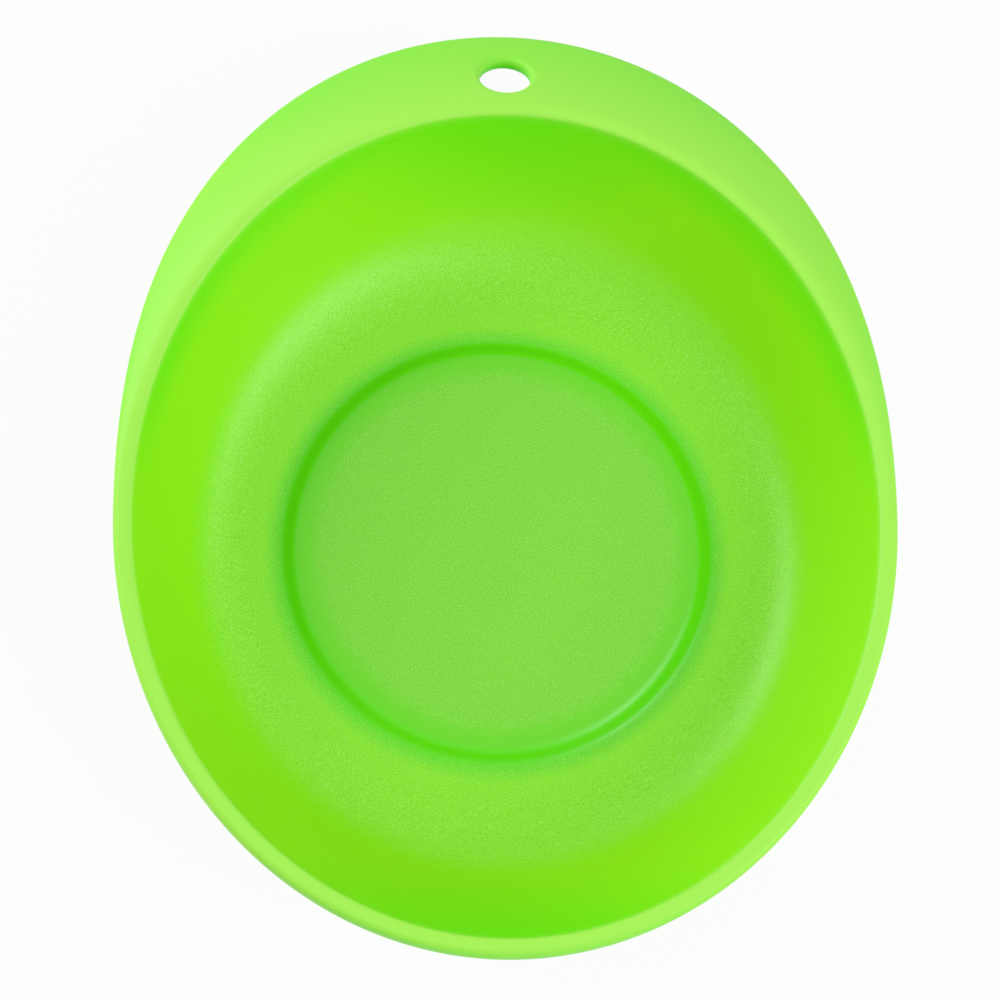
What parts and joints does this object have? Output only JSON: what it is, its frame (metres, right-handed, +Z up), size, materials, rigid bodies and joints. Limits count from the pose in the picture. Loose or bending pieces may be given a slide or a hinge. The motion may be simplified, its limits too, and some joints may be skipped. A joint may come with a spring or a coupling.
{
  "type": "magnetic parts tray",
  "caption": "Oval moulded bowl with a ring magnet shut in under its floor disc, a rubber foot and a down-turned rear lip with a hanging hole; keeps small steel parts in place on a bench.",
  "frame": {"origin": "middle of the rubber foot's underside, on the magnet's axis, at the level of the table", "axes": "+Z up out of the bowl; +Y towards the rear lip with the hanging hole; +X to the right seen from the front"},
  "size_m": [0.108, 0.1324, 0.032],
  "materials": {
    "bowl_plastic": "satin lime polypropylene, fine grain on floor and disc, smoother wall and rim",
    "cushion_foam": "closed-cell foam",
    "magnet_ferrite": "ground grey ferrite",
    "cover_plastic": "matt lime polypropylene",
    "screw_steel": "zinc plated",
    "foot_rubber": "matt black rubber with grip grooves"
  },
  "bodies": {
    "root": {"tray_bowl": "bowl_plastic", "magnet_cushion": "cushion_foam", "ring_magnet": "magnet_ferrite", "base_cover": "cover_plastic", "cover_screws": "screw_steel", "rubber_foot": "foot_rubber"}
  },
  "joints": []
}
